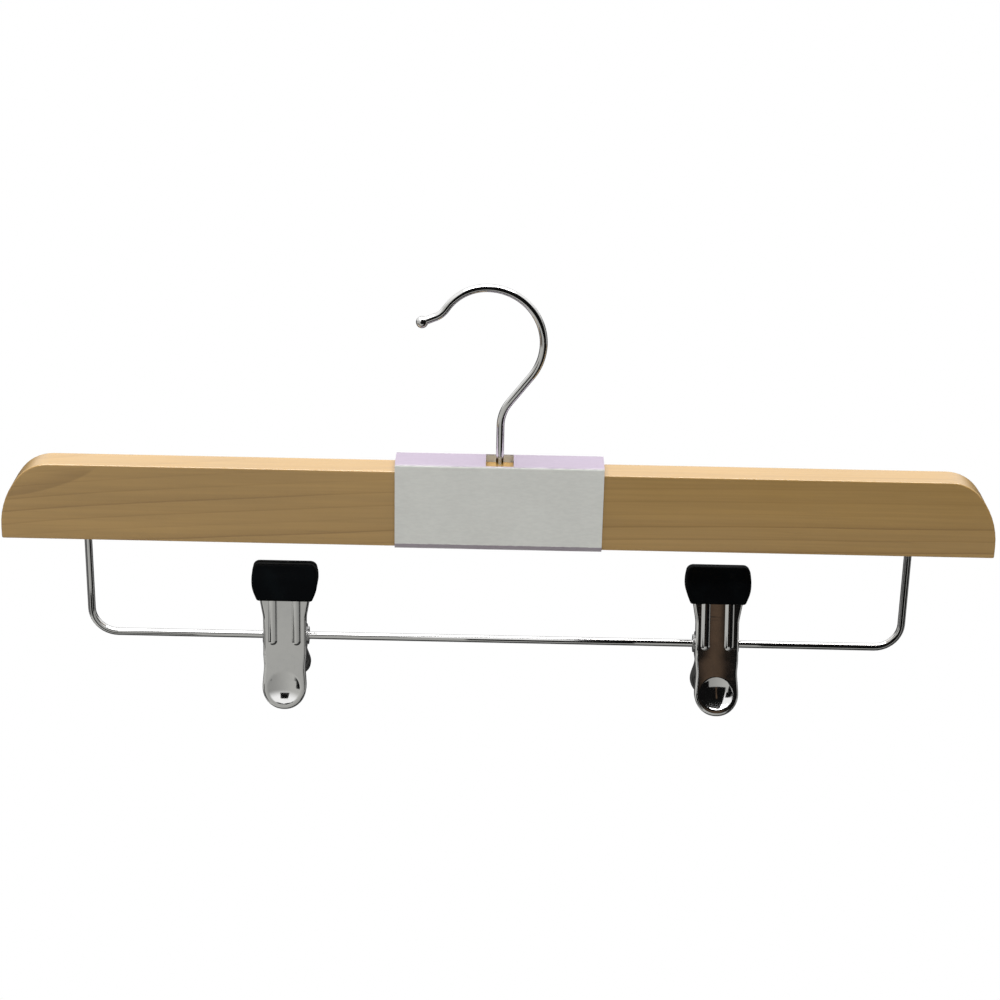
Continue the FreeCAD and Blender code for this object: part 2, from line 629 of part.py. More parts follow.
def make_ears(name, facing, draw):
    """The two ears of a jaw, which carry it on the eyelet."""
    body = new_body(name + "_ear_block")
    width = f"waist_width - 2 * ({draw} + ear_inset)"
    past = f"{facing} * -ear_radius"
    corners = [
        (f"{facing} * ear_top_depth", "ear_height"),
        (past, "ear_radius"),
        (past, "-ear_radius"),
        (f"{facing} * ear_low_depth", "-ear_height"),
    ]
    pad(body, name + "_ear_prism", "YZ_Plane", [corners], width)
    tips = [Vector(0, value(past), value(up)) for up in ("ear_radius", "-ear_radius")]
    round_text = f"ear_radius * {EAR_ROUND_SHARE}"
    fillet(body, name + "_ear_tips", straight_edge(Vector(1, 0, 0), tips), round_text)
    reach = "lever_depth + overrun"
    sizes = (f"{width} - 2 * sheet", f"2 * ({reach})", f"2 * ({reach})")
    gap = make_box(name + "_ear_gap", sizes, (f"sheet - ({width}) / 2", f"-({reach})", f"-({reach})"))
    return boolean("Cut", name + "_ears", body, gap)


def make_jaw_blank(name, facing, draw):
    """A pressed jaw without its pivot hole: a rimmed pan with ribs, a dished thumb pad and two ears."""
    outer = pressed_form(name + "_outer", facing, draw, "0")
    round_rim(outer, facing, "0")
    cut_dish(outer, facing, "0")
    add_ribs(outer, facing, "0")
    cut_back(outer, facing, "0")
    core = pressed_form(name + "_core", facing, draw, "sheet")
    round_rim(core, facing, "sheet")
    cut_dish(core, facing, "sheet")
    reach = "lever_depth + 2 * overrun"
    sizes = ("jaw_tip_width", f"2 * ({reach})", "lever_reach + overrun + jaw_tip_low")
    base = ("-jaw_tip_width / 2", f"-({reach})", "-(lever_reach + overrun)")
    hollow = make_box(name + "_hollow", sizes, base)
    inside = boolean("Common", name + "_inside", core, hollow)
    pan = boolean("Cut", name + "_pan", outer, inside)
    return boolean("Fuse", name + "_blank", pan, make_ears(name, facing, draw))


def make_pivot_hole():
    """The hole through the ears for the eyelet."""
    hole = doc.addObject("Part::Cylinder", "pivot_hole")
    tie(hole, "Radius", "eyelet_radius + eyelet_fit")
    tie(hole, "Height", "waist_width + 2 * overrun")
    hole.Placement.Rotation = Rotation(Vector(0, 0, 1), Vector(1, 0, 0))
    tie(hole, "Placement.Base.x", "-(waist_width / 2 + overrun)")
    return hole


def make_cap_form(name, facing):
    """The outside of a soft cap."""
    body = new_body(name)
    side = [
        ("cap_top_width / 2", "cap_top"),
        ("cap_width / 2", "belly_top"),
        ("cap_width / 2", "belly_low"),
        ("cap_mouth_width / 2", "cap_low"),
    ]
    pad(body, name + "_prism", "XZ_Plane", [mirrored(side)], "2 * (lever_depth + overrun)")
    places = both_sides(side)
    rounds = [("corner", places[0], "cap_corner"), ("belly", places[1] + places[2], "belly_round")]
    for part, spots, radius in rounds + [("mouth", places[3], "mouth_corner")]:
        fillet(body, f"{name}_{part}", straight_edge(Vector(0, 1, 0), spots), radius)
    far, above, below = "lever_depth + 2 * overrun", "cap_top + overrun", "cap_low - overrun"
    top, taper, low = (f"{facing} * {depth}" for depth in ("cap_top_depth", "taper_depth", "cap_low_depth"))
    front = [(top, above), (top, "cap_top"), (taper, "taper_low"), (low, "cap_low"), (low, below)]
    front += [(f"{facing} * ({far})", below), (f"{facing} * ({far})", above)]
    length = "cap_width + 2 * overrun"
    pad(body, name + "_front", "YZ_Plane", [front], length, cut=True)
    grip, mouth = f"{facing} * cap_gap / 2", f"{facing} * cap_mouth_depth"
    back = [(grip, above), (grip, "cap_meet"), (mouth, "cap_low"), (mouth, below)]
    back += [(f"{facing} * -({far})", below), (f"{facing} * -({far})", above)]
    pad(body, name + "_back", "YZ_Plane", [back], length, cut=True)
    creases = [Vector(0, value(grip), value("cap_meet")), Vector(0, value(taper), value("taper_low"))]
    fillet(body, name + "_creases", straight_edge(Vector(1, 0, 0), creases), "belly_round")
    fillet(body, name + "_edges", front_edges(body, Vector(0, value(facing), 0)), "cap_round")
    fillet(body, name + "_grip", front_edges(body, Vector(0, -value(facing), 0)), "cap_edge")
    return body


def make_cap_room(name, facing, draw):
    """The room inside a cap for the jaw's tip and ribs."""
    room = pressed_form(name, facing, draw, "-cap_fit")
    add_ribs(room, facing, "cap_fit")
    cut_back(room, facing, "-cap_fit")
    return room


def make_eyelet(name):
    """The hollow pivot with rolled ends, which slides on the rail."""
    body = new_body(name)
    sketch = new_sketch(body, name + "_profile", "XY_Plane")
    shoulder = "eyelet_half - flange_thick"
    right_side = [("eyelet_half", "eyelet_bore"), ("eyelet_half", "flange_width / 2")]
    right_side += [(shoulder, "flange_width / 2"), (shoulder, "eyelet_radius")]
    add_polygon(sketch, mirrored(right_side))
    turned = body.newObject("PartDesign::Revolution", name + "_turned")
    turned.Profile = sketch
    turned.ReferenceAxis = (sketch, ["H_Axis"])
    doc.recompute()
    return body


def biarc(start, ahead, end, onward):
    """Two tangent arcs from one place and direction to another."""
    span = end - start
    both = ahead + onward
    bend = 2 * (1 - ahead.dot(onward))
    reach = span.dot(both)
    step = (-reach + math.sqrt(reach * reach + bend * span.dot(span))) / bend
    first, second = start + ahead * step, end - onward * step
    meet = (first + second) / 2
    return [arc_to(start, first, meet), arc_to(meet, second, end)]


def arc_to(start, corner, end):
    """The arc from start to end whose end tangents meet at the corner."""
    chord = end - start
    foot = (start + end) / 2
    rise = (corner - foot).Length
    half = chord.Length / 2
    sagitta = half * (math.hypot(half, rise) - half) / rise
    return Part.Arc(start, foot + (corner - foot) * (sagitta / rise), end).toShape()


def spring_path():
    """The torsion spring's centre line: a leg on each lever and the curls between them."""
    coil = value("eyelet_radius + spring_play + spring_wire / 2")
    off = value("spring_wire / 2 + spring_seat")
    lean = math.radians(value("lever_lean"))
    depth = value("bend_depth + (spring_leg - bend_low) * lever_slope - sheet / cos(lever_lean)")
    foot_y = -(depth - off * math.cos(lean))
    foot_z = -value("spring_leg") - off * math.sin(lean)
    away = math.hypot(foot_y, foot_z)
    leave = math.atan2(foot_z, foot_y) + 2 * math.pi - math.acos(coil / away)
    turned = 2 * math.pi * value("spring_turns") + 2 * leave - math.pi
    half = value("spring_pitch") * turned / math.tau / 2

    def place(share):
        angle = leave - turned * share
        return Vector((2 * share - 1) * half, coil * math.cos(angle), coil * math.sin(angle))

    def ahead(share):
        angle = leave - turned * share
        slope = Vector(2 * half / turned, coil * math.sin(angle), -coil * math.cos(angle))
        if share in (0, 1):
            slope.x = 0
        return slope.normalize()

    steps = math.ceil(turned / math.pi)
    shares = [step / steps for step in range(steps + 1)]
    edges = [Part.LineSegment(Vector(-half, foot_y, foot_z), place(0)).toShape()]
    for share, after in zip(shares, shares[1:]):
        edges += biarc(place(share), ahead(share), place(after), ahead(after))
    edges.append(Part.LineSegment(place(1), Vector(half, -foot_y, foot_z)).toShape())
    return edges


def least_gap(edges, wire):
    """The least distance between two curls of the spring, measured on points of its centre line."""
    points = []
    for edge in edges:
        points += edge.discretize(POINTS_PER_ARC)[:-1]
    travel = [0]
    for before, point in zip(points, points[1:]):
        travel.append(travel[-1] + (point - before).Length)
    apart = math.pi * wire
    pairs = ((a, b) for a in range(len(points)) for b in range(a) if travel[a] - travel[b] > apart)
    return min((points[a] - points[b]).Length for a, b in pairs) - wire


def make_spring(name):
    """One unbroken wire along the spring's path."""
    edges = spring_path()
    path = Part.Wire(edges)
    wire = value("spring_wire")
    start = edges[0].Vertexes[0].Point
    ahead = edges[0].Vertexes[1].Point - start
    section = Part.Wire([Part.Circle(start, ahead, wire / 2).toShape()])
    item = doc.addObject("Part::Feature", name)
    item.Shape = path.makePipeShell([section], True, False)
    swept = path.Length * math.pi * wire**2 / 4
    share = item.Shape.Volume / swept
    print(f"{name}: least gap {least_gap(edges, wire):.2f} mm, {share:.4f} of the swept volume")
    return item


def make_hanger():
    """The pieces that are fixed to the bar or hang it."""
    bar, hook, rail, card = make_bar(), make_hook(), make_rail(), make_card()
    for piece in (bar, hook, rail, card):
        set_place(piece, z="-seat_height")
    washer = make_washer()
    set_place(washer, z="-(seat_height + washer_top + washer_thick)")
    return [bar, hook, washer, rail, card]


def make_clips():
    """Both spring clips, each from a front and a rear jaw with their caps."""
    pieces = []
    hole = make_pivot_hole()
    forms = {}
    for face, facing, draw in (("front", "-1", "0"), ("rear", "1", "ear_step")):
        blank = make_jaw_blank(face, facing, draw)
        cap = make_cap_form(face + "_cap_form", facing)
        forms[face] = (blank, cap, make_cap_room(face + "_cap_room", facing, draw))
    for hand, side in (("left", "-"), ("right", "")):
        clip = [make_eyelet(hand + "_eyelet"), make_spring(hand + "_spring")]
        for face, (blank, cap, room) in forms.items():
            clip.append(boolean("Cut", f"{hand}_{face}_jaw", blank, hole))
            clip.append(boolean("Cut", f"{hand}_{face}_cap", cap, room))
        for piece in clip:
            set_place(piece, f"{side}{hand}_clip", "-rail_height", hand + "_tilt")
        pieces += clip
    return pieces


def write(pieces):
    """Checks every object, then writes one file for each piece."""
    doc.recompute()
    failed = [item.Name for item in doc.Objects if {"Invalid", "Error"} & set(item.State)]
    for piece in pieces:
        if piece.Shape.isNull() or not piece.Shape.isValid() or len(piece.Shape.Solids) != 1:
            failed.append(piece.Label)
    if failed:
        raise RuntimeError("not built: " + ", ".join(failed))
    os.makedirs("parts", exist_ok=True)
    for piece in pieces:
        piece.Shape.exportStep(f"parts/{piece.Label}.step")


write(make_hanger() + make_clips())
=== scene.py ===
import json
import math

import bpy
from mathutils import Matrix, Vector


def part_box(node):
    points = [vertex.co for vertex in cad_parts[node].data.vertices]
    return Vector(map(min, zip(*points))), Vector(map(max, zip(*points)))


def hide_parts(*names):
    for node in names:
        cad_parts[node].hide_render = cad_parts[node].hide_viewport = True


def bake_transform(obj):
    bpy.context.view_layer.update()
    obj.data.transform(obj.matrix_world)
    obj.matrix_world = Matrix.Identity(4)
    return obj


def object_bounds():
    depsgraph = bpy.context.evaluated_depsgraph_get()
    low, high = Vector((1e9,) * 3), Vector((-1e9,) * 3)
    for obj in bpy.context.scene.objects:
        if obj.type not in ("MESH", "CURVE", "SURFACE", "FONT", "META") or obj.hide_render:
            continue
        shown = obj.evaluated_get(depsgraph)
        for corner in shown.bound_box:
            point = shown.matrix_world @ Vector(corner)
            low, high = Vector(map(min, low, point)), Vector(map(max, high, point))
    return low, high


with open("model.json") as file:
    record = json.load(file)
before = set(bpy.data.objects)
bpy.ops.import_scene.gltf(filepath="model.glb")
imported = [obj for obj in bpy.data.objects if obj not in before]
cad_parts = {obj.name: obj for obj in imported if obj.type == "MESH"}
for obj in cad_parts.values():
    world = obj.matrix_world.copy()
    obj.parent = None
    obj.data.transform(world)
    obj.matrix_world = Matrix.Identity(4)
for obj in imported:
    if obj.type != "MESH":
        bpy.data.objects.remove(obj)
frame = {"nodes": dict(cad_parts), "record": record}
cad_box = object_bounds()
nodes = frame["nodes"]
scene = bpy.context.scene

MM = 0.001
HANDS = ("left", "right")

# The camera, as it stood for the photograph, with its dip and roll in radians
CAMERA_PLACE = Vector((0.36, -752.3, 226.15)) * MM
CAMERA_LENS = 80.58
CAMERA_SENSOR = 36.0
CAMERA_DIP = 0.3836
CAMERA_ROLL = 0.0208

# The soft lamp overhead, and the even light from all round
LAMP_PLACE = Vector((0.0, 0.0, 1.15))
LAMP_SIZE = (1.6, 1.1)
LAMP_POWER = 30.5
AMBIENT = 0.3025


def colour(red, green, blue):
    """A full colour from its three parts."""
    return (red, green, blue, 1.0)


def grey(level):
    """A grey of one level."""
    return colour(level, level, level)


BLACK = grey(0.0)
WHITE = grey(1.0)


class Graph:
    """Short calls that add nodes to a shader tree and join them."""

    def __init__(self, tree):
        self.tree = tree

    def feed(self, socket, source):
        """Joins a socket to another node's output, or sets it to a plain value."""
        if isinstance(source, bpy.types.NodeSocket):
            self.tree.links.new(source, socket)
        else:
            socket.default_value = source

    def node(self, kind, settings=None, **inputs):
        """A node with its settings, its inputs given by name with a low line for each space."""
        item = self.tree.nodes.new("ShaderNode" + kind)
        for name, setting in (settings or {}).items():
            setattr(item, name, setting)
        for name, source in inputs.items():
            self.feed(item.inputs[name.replace("_", " ")], source)
        return item

    def math(self, operation, *sources):
        """The result of one sum on values."""
        item = self.tree.nodes.new("ShaderNodeMath")
        item.operation = operation
        for socket, source in zip(item.inputs, sources):
            self.feed(socket, source)
        return item.outputs[0]

    def plus(self, first, second):
        return self.math("ADD", first, second)

    def minus(self, first, second):
        return self.math("SUBTRACT", first, second)

    def times(self, first, second):
        return self.math("MULTIPLY", first, second)

    def spread(self, source, span, to=(0.0, 1.0)):
        """A smooth step of a value from one range to another."""
        item = self.node("MapRange", {"interpolation_type": "SMOOTHSTEP"}, Value=source)
        for end, number, result in zip(("Min", "Max"), span, to):
            item.inputs["From " + end].default_value = number
            item.inputs["To " + end].default_value = result
        return item.outputs["Result"]

    def fade(self, source, span):
        """A smooth step from one below a range to nothing above it."""
        return self.spread(source, span, (1.0, 0.0))

    def mix(self, share, first, second, blend="MIX"):
        """Two colours mixed."""
        item = self.node("Mix", {"data_type": "RGBA", "blend_type": blend})
        self.feed(item.inputs["Factor"], share)
        self.feed(item.inputs[6], first)
        self.feed(item.inputs[7], second)
        return item.outputs[2]

    def between(self, share, first, second):
        """Two values mixed."""
        item = self.node("Mix", {"data_type": "FLOAT"})
        self.feed(item.inputs["Factor"], share)
        self.feed(item.inputs[2], first)
        self.feed(item.inputs[3], second)
        return item.outputs[0]

    def mix_shaders(self, share, first, second):
        """Two shaders mixed."""
        item = self.node("MixShader", Fac=share)
        self.feed(item.inputs[1], first.outputs[0])
        self.feed(item.inputs[2], second.outputs[0])
        return item

    def toned(self, shade, tone):
        """A colour made lighter or darker by a value."""
        level = self.node("CombineColor", Red=tone, Green=tone, Blue=tone)
        return self.mix(1.0, shade, level.outputs[0], "MULTIPLY")

    def places(self):
        """The piece's own coordinates."""
        return self.node("TexCoord").outputs["Object"]

    def parts(self, vector):
        """The X, Y and Z of a vector."""
        return self.node("SeparateXYZ", Vector=vector).outputs

    def noise(self, where, scale, detail=3.0, stretch=(1.0, 1.0, 1.0)):
        """Noise over places, drawn out along the axes whose stretch is small."""
        placed = self.node("Mapping", Vector=where)
        placed.inputs["Scale"].default_value = stretch
        item = self.node("TexNoise", Vector=placed.outputs[0], Scale=scale, Detail=detail)
        return item.outputs["Fac"]

    def bump(self, height, strength, distance):
        """The normal of a surface with a fine relief."""
        item = self.node("Bump", Height=height, Strength=strength, Distance=distance)
        return item.outputs["Normal"]

    def group(self, tree, **inputs):
        """The outputs of a shared effect, placed with its own values."""
        return self.node("Group", {"node_tree": tree}, **inputs).outputs


def new_group(name, inputs, outputs):
    """An empty shared effect; returns its graph, its input node and its output node."""
    tree = bpy.data.node_groups.new(name, "ShaderNodeTree")
    for label in inputs:
        tree.interface.new_socket(label, in_out="INPUT", socket_type="NodeSocketFloat")
    for label, kind in outputs.items():
        tree.interface.new_socket(label, in_out="OUTPUT", socket_type="NodeSocket" + kind)
    enter = tree.nodes.new("NodeGroupInput")
    leave = tree.nodes.new("NodeGroupOutput")
    return Graph(tree), enter, leave


def new_material(name):
    """A material with a lone Principled shader; returns it, its graph and that shader."""
    material = bpy.data.materials.new(name)
    material.use_nodes = True
    shader = material.node_tree.nodes["Principled BSDF"]
    return material, Graph(material.node_tree), shader


def finish_shader(graph, shader, shade, rough, normal):
    """Feeds what changes over the surface to a shader."""
    graph.feed(shader.inputs["Base Color"], shade)
    graph.feed(shader.inputs["Roughness"], rough)
    graph.feed(shader.inputs["Normal"], normal)


def show_shader(material, shader):
    """Makes a shader node the one that the material shows."""
    output = material.node_tree.nodes["Material Output"]
    material.node_tree.links.new(shader.outputs[0], output.inputs["Surface"])


# The range that nearly all of a noise lies in, and its middle
NOISE_SPAN = (0.3, 0.7)
NOISE_MIDDLE = 0.5

# Uneven gloss and skin, shared by the wood, the metals and the vinyl
MOTTLE_BROAD = 45.0
MOTTLE_DETAIL = 4.0
MOTTLE_BROAD_SHARE = 0.6
MOTTLE_FINE_SHARE = 0.4
MOTTLE_STRENGTH = 0.5


def make_mottle_group():
    """A mask of uneven gloss, and the normal of a fine uneven skin."""
    graph, enter, leave = new_group("mottle", ("Scale", "Height"), {"Mask": "Float", "Normal": "Vector"})
    where = graph.places()
    broad = graph.noise(where, MOTTLE_BROAD, MOTTLE_DETAIL)
    fine = graph.noise(where, enter.outputs["Scale"], MOTTLE_DETAIL)
    mask = graph.plus(graph.times(broad, MOTTLE_BROAD_SHARE), graph.times(fine, MOTTLE_FINE_SHARE))
    graph.feed(leave.inputs["Mask"], mask)
    graph.feed(leave.inputs["Normal"], graph.bump(fine, MOTTLE_STRENGTH, enter.outputs["Height"]))
    return graph.tree


# Rubbing marks, shared by the metals
RUBBING_STRETCH = (0.03, 1.0, 1.0)
RUBBING_DETAIL = 2.0
RUBBING_PATCHES = 60.0
RUBBING_LINE_SPAN = (0.60, 0.72)
RUBBING_PATCH_SPAN = (0.45, 0.65)


def make_rubbing_group():
    """A mask of hairline marks that run along X, in patches with smooth metal between them."""
    graph, enter, leave = new_group("rubbing", ("Scale",), {"Mask": "Float"})
    where = graph.places()
    lines = graph.noise(where, enter.outputs["Scale"], RUBBING_DETAIL, RUBBING_STRETCH)
    patches = graph.noise(where, RUBBING_PATCHES, RUBBING_DETAIL)
    sharp = graph.spread(lines, RUBBING_LINE_SPAN)
    graph.feed(leave.inputs["Mask"], graph.times(sharp, graph.spread(patches, RUBBING_PATCH_SPAN)))
    return graph.tree


MOTTLE = make_mottle_group()
RUBBING = make_rubbing_group()

# The wood's growth rings: their centre behind and above the bar, and how they bow, wander and show
RING_BEHIND = 14.0 * MM
RING_ABOVE = 42.0 * MM
RING_STEP = 4.5 * MM
RING_FLAT_AT = 160.0 * MM
RING_BOW = 0.13
RING_WEIGHTS = (0.15, 1.0)
RING_CALM_DEPTH = (5.0 * MM, 13.0 * MM)
RING_CALM_WEIGHTS = (0.3, 1.0)
LATE_POWER = 2.5
LINE_RISE = (0.84, 0.95)
LINE_FALL = (0.95, 1.0)
WANDER_SCALE = 22.0
WANDER_STRETCH = (0.22, 1.0, 1.0)
WANDER_REACH = 5.0 * MM

# The rounded figure at the bar's left shoulder
FIGURE_WIDE = 36.0 * MM
FIGURE_DEEP = 13.0 * MM
FIGURE_POWER = 1.45
FIGURE_WANDER = 40.0
FIGURE_EDGE = (0.97, 1.04)
FIGURE_FILL = (0.35, 1.0)
FIGURE_SKIN = (0.3 * MM, 3.0 * MM)

# The wood's fibres, pores and clouds, and its edges, rubbed pale
FIBRE_SCALE = 900.0
FIBRE_DETAIL = 4.0
FIBRE_STRETCH = (0.022, 1.0, 1.0)
FIBRE_TONES = (0.95, 1.04)
FIBRE_RELIEF = 0.6
CLOUD_SCALE = 60.0
CLOUD_STRETCH = (0.12, 1.0, 1.0)
CLOUD_TONES = (-0.05, 0.04)
PORE_SCALE = 1500.0
PORE_DETAIL = 2.0
PORE_STRETCH = (0.035, 1.0, 1.0)
PORE_SPAN = (0.66, 0.76)
PORE_TONE = 0.08
EDGE_SPAN = (0.3 * MM, 0.8 * MM)
EDGE_CLOUDS = (0.4, 0.6)

# The wood's colours, how far each goes over the one before, and its lacquer
WOOD_PALE = colour(0.475, 0.282, 0.080)
WOOD_DEEP = colour(0.390, 0.219, 0.055)
WOOD_LINE = colour(0.245, 0.128, 0.030)
WOOD_RUBBED = colour(0.58, 0.38, 0.17)
LATE_COVER = 0.8
LINE_COVER = 0.42
FIGURE_COVER = 0.40
RUBBED_COVER = 0.4
WOOD_MOTTLE = 700.0
WOOD_SKIN = 0.03 * MM
WOOD_ROUGH = (0.34, 0.46)
LATE_ROUGH = 0.05
WOOD_BUMP = 0.35
WOOD_RELIEF = 0.06 * MM
LACQUER_ROUGH = 0.22
LACQUER_IOR = 1.6


def wood_rings(graph, x, y, depth, wander):
    """The late wood of the growth rings and their dark lines, as two masks."""
    away = graph.minus(x, RING_FLAT_AT)
    bow = graph.times(graph.times(away, away), -RING_BOW)
    behind = graph.minus(y, RING_BEHIND)
    above = graph.plus(depth, RING_ABOVE)
    radius = graph.math("SQRT", graph.plus(graph.times(behind, behind), graph.times(above, above)))
    ring = graph.math("DIVIDE", graph.plus(graph.plus(radius, bow), wander), RING_STEP)
    share = graph.math("FRACT", ring)
    draw = graph.node("TexWhiteNoise", {"noise_dimensions": "1D"}, W=graph.math("FLOOR", ring))
    weight = graph.spread(draw.outputs["Value"], (0.0, 1.0), RING_WEIGHTS)
    weight = graph.times(weight, graph.spread(depth, RING_CALM_DEPTH, RING_CALM_WEIGHTS))
    late = graph.times(graph.math("POWER", share, LATE_POWER), weight)
    line = graph.times(graph.spread(share, LINE_RISE), graph.fade(share, LINE_FALL))
    return late, graph.times(line, weight)


def wood_figure(graph, along, depth, wander):
    """The rounded figure at the bar's left shoulder, as a mask; along is the way from the bar's left end."""
    past = graph.math("DIVIDE", along, FIGURE_WIDE)
    past = graph.math("POWER", past, FIGURE_POWER)
    down = graph.math("ABSOLUTE", graph.math("DIVIDE", depth, FIGURE_DEEP))
    down = graph.math("POWER", down, FIGURE_POWER)
    edge = graph.plus(graph.plus(past, down), graph.times(wander, FIGURE_WANDER))
    figure = graph.times(graph.fade(edge, FIGURE_EDGE), graph.spread(edge, FIGURE_FILL))
    return graph.times(figure, graph.spread(depth, FIGURE_SKIN))


def make_wood():
    """Pale lacquered wood, with rings that run through the solid, so that all faces agree."""
    material, graph, shader = new_material("lacquered_wood")
    low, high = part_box("wooden_bar")
    where = graph.places()
    x, y, z = graph.parts(where)
    depth = graph.minus(high.z, z)
    wander = graph.noise(where, WANDER_SCALE, stretch=WANDER_STRETCH)
    wander = graph.times(graph.minus(wander, NOISE_MIDDLE), WANDER_REACH)
    late, line = wood_rings(graph, x, y, depth, wander)
    figure = wood_figure(graph, graph.minus(x, low.x), depth, wander)

    fibre = graph.noise(where, FIBRE_SCALE, FIBRE_DETAIL, FIBRE_STRETCH)
    cloud = graph.noise(where, CLOUD_SCALE, stretch=CLOUD_STRETCH)
    pores = graph.spread(graph.noise(where, PORE_SCALE, PORE_DETAIL, PORE_STRETCH), PORE_SPAN)
    to_face = graph.minus(high.y, graph.math("ABSOLUTE", y))
    to_edge = graph.plus(to_face, graph.math("MINIMUM", depth, graph.minus(z, low.z)))
    rubbed = graph.times(graph.fade(to_edge, EDGE_SPAN), graph.spread(cloud, EDGE_CLOUDS))

    shade = graph.mix(graph.times(late, LATE_COVER), WOOD_PALE, WOOD_DEEP)
    shade = graph.mix(graph.times(line, LINE_COVER), shade, WOOD_LINE)
    shade = graph.mix(graph.times(figure, FIGURE_COVER), shade, WOOD_LINE)
    shade = graph.mix(graph.times(rubbed, RUBBED_COVER), shade, WOOD_RUBBED)
    fibre_tone = graph.spread(fibre, NOISE_SPAN, FIBRE_TONES)
    cloud_tone = graph.spread(cloud, NOISE_SPAN, CLOUD_TONES)
    tone = graph.minus(graph.plus(fibre_tone, cloud_tone), graph.times(pores, PORE_TONE))
    shade = graph.toned(shade, tone)

    mottle = graph.group(MOTTLE, Scale=WOOD_MOTTLE, Height=WOOD_SKIN)
    rough = graph.plus(graph.spread(mottle["Mask"], NOISE_SPAN, WOOD_ROUGH), graph.times(late, LATE_ROUGH))
    height = graph.minus(graph.times(fibre, FIBRE_RELIEF), pores)
    finish_shader(graph, shader, shade, rough, graph.bump(height, WOOD_BUMP, WOOD_RELIEF))
    shader.inputs["Coat Weight"].default_value = 1.0
    shader.inputs["Coat Roughness"].default_value = LACQUER_ROUGH
    shader.inputs["Coat IOR"].default_value = LACQUER_IOR
    return material


# The chrome of the hook, the rail and the clips, clear and hazed, and the inner sides of the clips, rougher
# and darkened with painted shade
CHROME_CLEAR = colour(0.86, 0.855, 0.845)
CHROME_HAZED = colour(0.80, 0.798, 0.792)
CHROME_MOTTLE = 420.0
CHROME_SKIN = 0.004 * MM
CHROME_RUBBING = 1400.0
CHROME_HAZE_SPAN = (0.35, 0.70)
CHROME_ROUGH = 0.07
CHROME_HAZE_ROUGH = 0.05
CHROME_RUBBED_ROUGH = 0.12
# painted shade: the dark grey laid on the jaws' inner sides, where they face each other
INSIDE_PAINTED_SHADE = grey(0.20)
INSIDE_ROUGH = 0.4
INSIDE_SPAN = (-0.5, -0.2)


def chrome_finish(graph):
    """The colour, roughness and normal of bright plated steel with faint haze and hairline rubbing."""
    mottle = graph.group(MOTTLE, Scale=CHROME_MOTTLE, Height=CHROME_SKIN)
    rubbing = graph.group(RUBBING, Scale=CHROME_RUBBING)
    haze = graph.spread(mottle["Mask"], CHROME_HAZE_SPAN)
    rough = graph.plus(graph.times(haze, CHROME_HAZE_ROUGH), CHROME_ROUGH)
    rough = graph.plus(rough, graph.times(rubbing["Mask"], CHROME_RUBBED_ROUGH))
    return graph.mix(haze, CHROME_CLEAR, CHROME_HAZED), rough, mottle["Normal"]


def make_chrome():
    """Bright plated steel."""
    material, graph, shader = new_material("bright_chrome")
    shader.inputs["Metallic"].default_value = 1.0
    finish_shader(graph, shader, *chrome_finish(graph))
    return material


def make_pressed(side, outward):
    """The chrome of a pressed jaw, rougher inside, its inner side darkened with painted shade; outward is the
    sign of Y on its outer side.
    """
    material, graph, shader = new_material(side + "_pressed_chrome")
    shader.inputs["Metallic"].default_value = 1.0
    shade, rough, normal = chrome_finish(graph)
    facing = graph.parts(graph.node("TexCoord").outputs["Normal"])["Y"]
    inside = graph.fade(graph.times(facing, outward), INSIDE_SPAN)
    # painted shade: the inner side takes the dark grey in place of the chrome's colour
    shade = graph.mix(inside, shade, INSIDE_PAINTED_SHADE)
    rough = graph.between(inside, rough, INSIDE_ROUGH)
    finish_shader(graph, shader, shade, rough, normal)
    return material


# The zinc-plated steel of the springs, the eyelets and the washer
STEEL_COOL = colour(0.46, 0.465, 0.48)
STEEL_WARM = colour(0.58, 0.575, 0.56)
STEEL_MOTTLE = 800.0
STEEL_SKIN = 0.012 * MM
STEEL_RUBBING = 1100.0
STEEL_ROUGH = (0.24, 0.40)
STEEL_RUBBED_ROUGH = 0.1


def make_steel():
    """Zinc-plated steel: greyer than the chrome, with a fine crystalline cloud and rubbed lines."""
    material, graph, shader = new_material("zinc_steel")
    shader.inputs["Metallic"].default_value = 1.0
    mottle = graph.group(MOTTLE, Scale=STEEL_MOTTLE, Height=STEEL_SKIN)
    rubbing = graph.group(RUBBING, Scale=STEEL_RUBBING)
    shade = graph.mix(mottle["Mask"], STEEL_COOL, STEEL_WARM)
    rough = graph.spread(mottle["Mask"], NOISE_SPAN, STEEL_ROUGH)
    rough = graph.plus(rough, graph.times(rubbing["Mask"], STEEL_RUBBED_ROUGH))
    finish_shader(graph, shader, shade, rough, mottle["Normal"])
    return material


# The black vinyl of the caps
VINYL_BLACK = colour(0.0010, 0.0016, 0.0022)
VINYL_BLOOM = colour(0.0020, 0.0034, 0.0044)
VINYL_MOTTLE = 1600.0
VINYL_SKIN = 0.04 * MM
VINYL_ROUGH = (0.52, 0.68)
VINYL_SHINE = 0.06
BLOOM_SCALE = 130.0
BLOOM_SPAN = (0.42, 0.70)


def make_vinyl():
    """Matt black soft vinyl with a fine pebbled skin and a faint bluish bloom."""
    material, graph, shader = new_material("soft_vinyl")
    mottle = graph.group(MOTTLE, Scale=VINYL_MOTTLE, Height=VINYL_SKIN)
    bloom = graph.spread(graph.noise(graph.places(), BLOOM_SCALE), BLOOM_SPAN)
    shade = graph.mix(bloom, VINYL_BLACK, VINYL_BLOOM)
    rough = graph.spread(mottle["Mask"], NOISE_SPAN, VINYL_ROUGH)
    finish_shader(graph, shader, shade, rough, mottle["Normal"])
    shader.inputs["Specular IOR Level"].default_value = VINYL_SHINE
    return material
